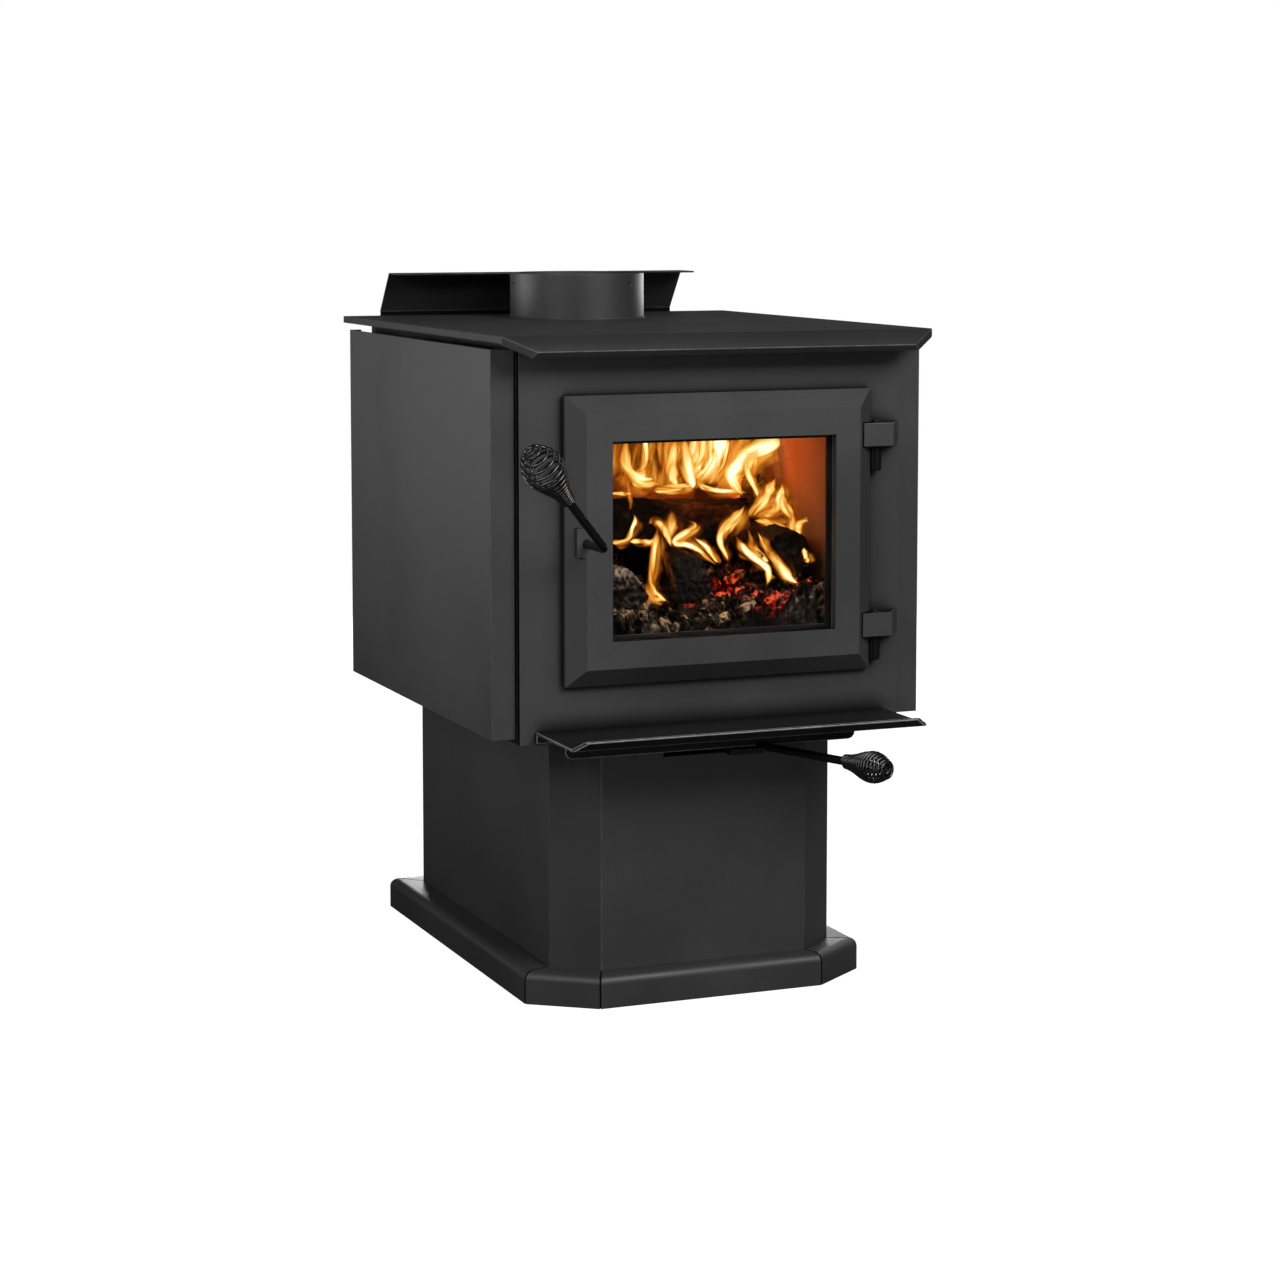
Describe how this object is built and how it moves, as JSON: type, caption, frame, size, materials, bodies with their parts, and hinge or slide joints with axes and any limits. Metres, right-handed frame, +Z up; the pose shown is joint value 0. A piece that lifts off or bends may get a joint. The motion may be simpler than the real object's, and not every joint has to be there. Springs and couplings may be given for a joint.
{
  "type": "wood burning stove",
  "caption": "Free-standing steel wood stove on a closed pedestal, with side and rear shields, glazed door, coil handles, ash lip, sliding air control and round top flue collar.",
  "frame": {"origin": "on the floor under the middle of the pedestal's base plate", "axes": "+Z up along the flue, -Y out of the loading door, +X to the right as seen from the front"},
  "size_m": [0.5149, 0.7441, 0.776],
  "materials": {
    "stove_paint": "matte charcoal high-temperature stove paint",
    "door_paint": "matte charcoal stove paint over a heavy door frame",
    "handle_black": "satin black",
    "lip_black": "satin black sheet with worn edges",
    "bare_steel": "heat-stained plain steel",
    "firebrick": "rough pressed firebrick with soot",
    "ceramic_fibre": "soft rigid fibre board",
    "rope_seal": "woven glass-fibre rope",
    "door_glass": "clear ceramic glass",
    "firewood": "charred split logs",
    "embers": "glowing coals and ash",
    "flame": "fire, a shaped sheet of light"
  },
  "bodies": {
    "stove_body": {"base_plate": "stove_paint", "base_trim_left": "stove_paint", "base_trim_corner_left": "stove_paint", "base_trim_front": "stove_paint", "base_trim_corner_right": "stove_paint", "base_trim_right": "stove_paint", "base_trim_rear": "stove_paint", "pedestal_shell": "stove_paint", "pedestal_rear_panel": "stove_paint", "outside_air_collar": "stove_paint", "firebox_floor": "stove_paint", "firebox_wall_left": "stove_paint", "firebox_wall_right": "stove_paint", "firebox_rear_wall": "stove_paint", "face_plate": "stove_paint", "top_plate": "stove_paint", "flue_collar": "stove_paint", "side_shield_left": "stove_paint", "side_shield_right": "stove_paint", "side_shield_bracket_left": "stove_paint", "side_shield_bracket_right": "stove_paint", "rear_shield": "stove_paint", "rear_shield_bracket_left": "stove_paint", "rear_shield_bracket_right": "stove_paint", "floor_brick_1": "firebrick", "floor_brick_2": "firebrick", "floor_brick_3": "firebrick", "side_brick_left_1": "firebrick", "side_brick_left_2": "firebrick", "side_brick_right_1": "firebrick", "side_brick_right_2": "firebrick", "rear_brick_left": "firebrick", "rear_brick_right": "firebrick", "air_tube_1": "bare_steel", "air_tube_2": "bare_steel", "air_tube_3": "bare_steel", "baffle_board_left": "ceramic_fibre", "baffle_board_right": "ceramic_fibre", "baffle_blanket": "ceramic_fibre", "hinge_bracket_lower": "stove_paint", "hinge_bracket_upper": "stove_paint", "hinge_pin_lower": "bare_steel", "hinge_pin_upper": "bare_steel", "latch_catch": "bare_steel", "ash_lip": "lip_black", "ash_lip_bracket": "lip_black", "air_slide_guide": "stove_paint"},
    "door": {"door_frame": "door_paint", "door_glass": "door_glass", "glass_gasket": "rope_seal", "glass_retainer": "bare_steel", "door_rope_seal": "rope_seal", "hinge_barrel_lower": "handle_black", "hinge_barrel_upper": "handle_black"},
    "latch": {"latch_shaft": "handle_black", "latch_cam": "bare_steel", "door_handle_coil": "handle_black"},
    "air_control": {"air_slide_plate": "bare_steel", "air_lever": "handle_black", "air_handle_coil": "handle_black"}
  },
  "joints": [
    {"name": "door_swing", "type": "hinge", "parent": "stove_body", "child": "door", "pos_m": [0.189, -0.2745, 0.505], "axis": [0, 0, 1], "range_deg": [0, 110]},
    {"name": "latch_turn", "type": "hinge", "parent": "door", "child": "latch", "pos_m": [-0.154, -0.3, 0.5045], "axis": [0, -1, 0], "range_deg": [0, 80]},
    {"name": "air_slide", "type": "slide", "parent": "stove_body", "child": "air_control", "axis": [1, 0, 0], "range_m": [-0.06, 0]}
  ]
}
